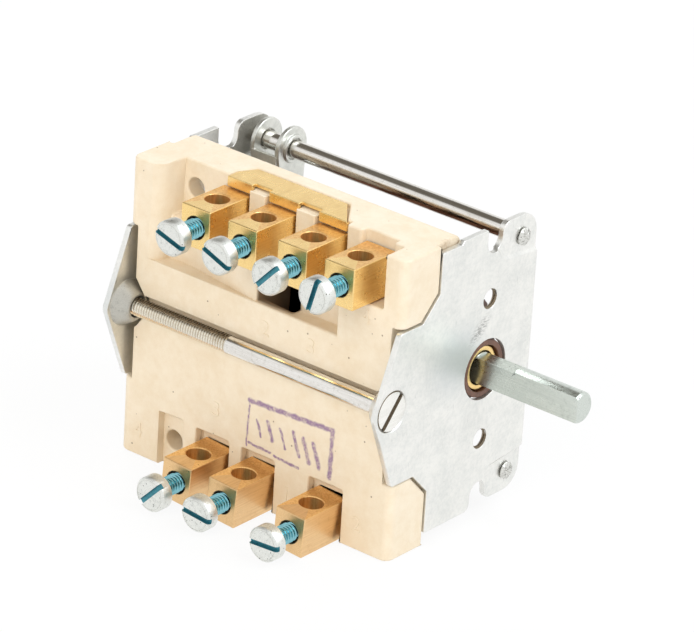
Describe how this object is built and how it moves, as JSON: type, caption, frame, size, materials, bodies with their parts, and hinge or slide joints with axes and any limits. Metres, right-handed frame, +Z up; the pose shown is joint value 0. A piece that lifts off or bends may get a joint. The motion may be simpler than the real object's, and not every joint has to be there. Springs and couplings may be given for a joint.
{
  "type": "rotary heat control switch",
  "caption": "Rotary cam switch for a cooking appliance: ceramic body between two steel plates, flatted shaft and brass screw terminals.",
  "frame": {"origin": "centre of the bounding box in x and y, at the lowest point of the ceramic feet", "axes": "the shaft points to -Y, +Z is up with the numbered terminals at the top, the terminals face -X"},
  "size_m": [0.055, 0.089, 0.0594],
  "materials": {
    "ceramic": "cream steatite ceramic, dry satin surface with dark pinholes",
    "zinc_plated_plate": "dull zinc plated sheet steel",
    "bright_steel": "bright plated turned steel",
    "brass": "plain machined brass",
    "brown_phenolic": "brown moulded phenolic",
    "blue_passivated_steel": "zinc plated with a blue passivation",
    "spring_steel": "dark spring steel",
    "contact_bronze": "phosphor bronze strip"
  },
  "bodies": {
    "switch_body": {"ceramic_body": "ceramic", "front_plate": "zinc_plated_plate", "rear_plate": "zinc_plated_plate", "tie_screw": "bright_steel", "top_rod": "bright_steel", "bottom_rod": "bright_steel", "detent_spring": "spring_steel", "busbar": "brass", "terminal_1": "brass", "contact_leaf_1": "contact_bronze", "terminal_2": "brass", "contact_leaf_2": "contact_bronze", "terminal_3": "brass", "contact_leaf_3": "contact_bronze", "terminal_4": "brass", "contact_leaf_4": "contact_bronze", "terminal_p1": "brass", "terminal_p2": "brass", "terminal_p3": "brass"},
    "rotor": {"shaft": "bright_steel", "shaft_sleeve": "brass", "cam_drum": "brown_phenolic", "detent_star": "zinc_plated_plate", "shaft_clip": "spring_steel"},
    "lever": {"detent_lever": "zinc_plated_plate", "roller_pin": "bright_steel"},
    "roller": {"detent_roller": "bright_steel"},
    "clamp_screw_1_body": {"clamp_screw_1": "blue_passivated_steel"},
    "clamp_screw_2_body": {"clamp_screw_2": "blue_passivated_steel"},
    "clamp_screw_3_body": {"clamp_screw_3": "blue_passivated_steel"},
    "clamp_screw_4_body": {"clamp_screw_4": "blue_passivated_steel"},
    "clamp_screw_p1_body": {"clamp_screw_p1": "blue_passivated_steel"},
    "clamp_screw_p2_body": {"clamp_screw_p2": "blue_passivated_steel"},
    "clamp_screw_p3_body": {"clamp_screw_p3": "blue_passivated_steel"}
  },
  "joints": [
    {"name": "shaft_turn", "type": "hinge", "parent": "switch_body", "child": "rotor", "pos_m": [0.0144, -0.0223, 0.0306], "axis": [0, 1, 0], "continuous": true},
    {"name": "lever_swing", "type": "hinge", "parent": "switch_body", "child": "lever", "pos_m": [0.0233, 0.0355, 0.0541], "axis": [0, 1, 0], "range_deg": [-6, 0], "stiffness_Nm_per_rad": 0.3, "springref_deg": 5.73, "deforming": ["detent_spring"]},
    {"name": "roller_spin", "type": "hinge", "parent": "lever", "child": "roller", "pos_m": [0.0243, 0.0355, 0.04133], "axis": [0, 1, 0], "continuous": true},
    {"name": "clamp_screw_1_travel", "type": "slide", "parent": "switch_body", "child": "clamp_screw_1_body", "axis": [1, 0, 0], "range_m": [0, 0.0042]},
    {"name": "clamp_screw_2_travel", "type": "slide", "parent": "switch_body", "child": "clamp_screw_2_body", "axis": [1, 0, 0], "range_m": [0, 0.0042]},
    {"name": "clamp_screw_3_travel", "type": "slide", "parent": "switch_body", "child": "clamp_screw_3_body", "axis": [1, 0, 0], "range_m": [0, 0.0042]},
    {"name": "clamp_screw_4_travel", "type": "slide", "parent": "switch_body", "child": "clamp_screw_4_body", "axis": [1, 0, 0], "range_m": [0, 0.0042]},
    {"name": "clamp_screw_p1_travel", "type": "slide", "parent": "switch_body", "child": "clamp_screw_p1_body", "axis": [1, 0, 0], "range_m": [0, 0.0042]},
    {"name": "clamp_screw_p2_travel", "type": "slide", "parent": "switch_body", "child": "clamp_screw_p2_body", "axis": [1, 0, 0], "range_m": [0, 0.0042]},
    {"name": "clamp_screw_p3_travel", "type": "slide", "parent": "switch_body", "child": "clamp_screw_p3_body", "axis": [1, 0, 0], "range_m": [0, 0.0042]}
  ]
}
